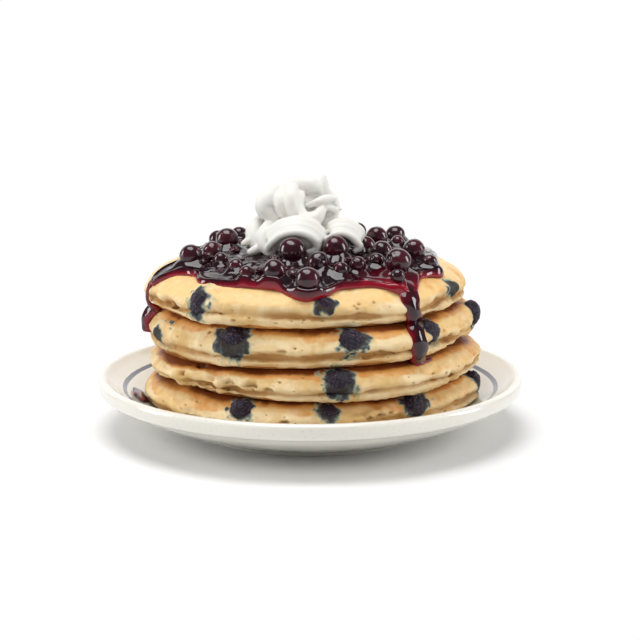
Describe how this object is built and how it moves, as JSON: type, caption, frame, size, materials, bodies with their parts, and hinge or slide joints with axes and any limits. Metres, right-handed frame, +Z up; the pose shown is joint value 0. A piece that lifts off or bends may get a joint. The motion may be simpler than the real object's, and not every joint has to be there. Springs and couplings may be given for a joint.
{
  "type": "pancake stack",
  "caption": "Stack of blueberry pancakes on a round china plate, topped with glossy blueberry compote, whole berries and piped whipped cream.",
  "frame": {"origin": "centre of the plate's foot ring, on the table", "axes": "+Z up, +X to the plate's right, -Y towards the front"},
  "size_m": [0.21, 0.21, 0.126],
  "materials": {
    "china": "glazed, ivory china",
    "pancake": "soft cooked batter with browned faces",
    "compote": "wet syrup",
    "berry": "syrup-coated skin",
    "baked_berry": "baked fruit skin",
    "cream": "soft satin cream"
  },
  "bodies": {
    "root": {"plate": "china", "pancake_1": "pancake", "pancake_2": "pancake", "pancake_3": "pancake", "pancake_4": "pancake", "baked_berry_01": "baked_berry", "baked_berry_02": "baked_berry", "baked_berry_03": "baked_berry", "baked_berry_04": "baked_berry", "baked_berry_05": "baked_berry", "baked_berry_06": "baked_berry", "baked_berry_07": "baked_berry", "baked_berry_08": "baked_berry", "baked_berry_09": "baked_berry", "baked_berry_10": "baked_berry", "baked_berry_11": "baked_berry", "baked_berry_12": "baked_berry", "baked_berry_13": "baked_berry", "baked_berry_14": "baked_berry", "baked_berry_15": "baked_berry", "berry_01": "berry", "berry_02": "berry", "berry_03": "berry", "berry_04": "berry", "berry_05": "berry", "berry_06": "berry", "berry_07": "berry", "berry_08": "berry", "berry_09": "berry", "berry_10": "berry", "berry_11": "berry", "berry_12": "berry", "berry_13": "berry", "berry_14": "berry", "berry_15": "berry", "berry_16": "berry", "berry_17": "berry", "berry_18": "berry", "berry_19": "berry", "berry_20": "berry", "berry_21": "berry", "berry_22": "berry", "berry_23": "berry", "berry_24": "berry", "berry_25": "berry", "berry_26": "berry", "berry_27": "berry", "berry_28": "berry", "compote": "compote", "whipped_cream": "cream"}
  },
  "joints": []
}
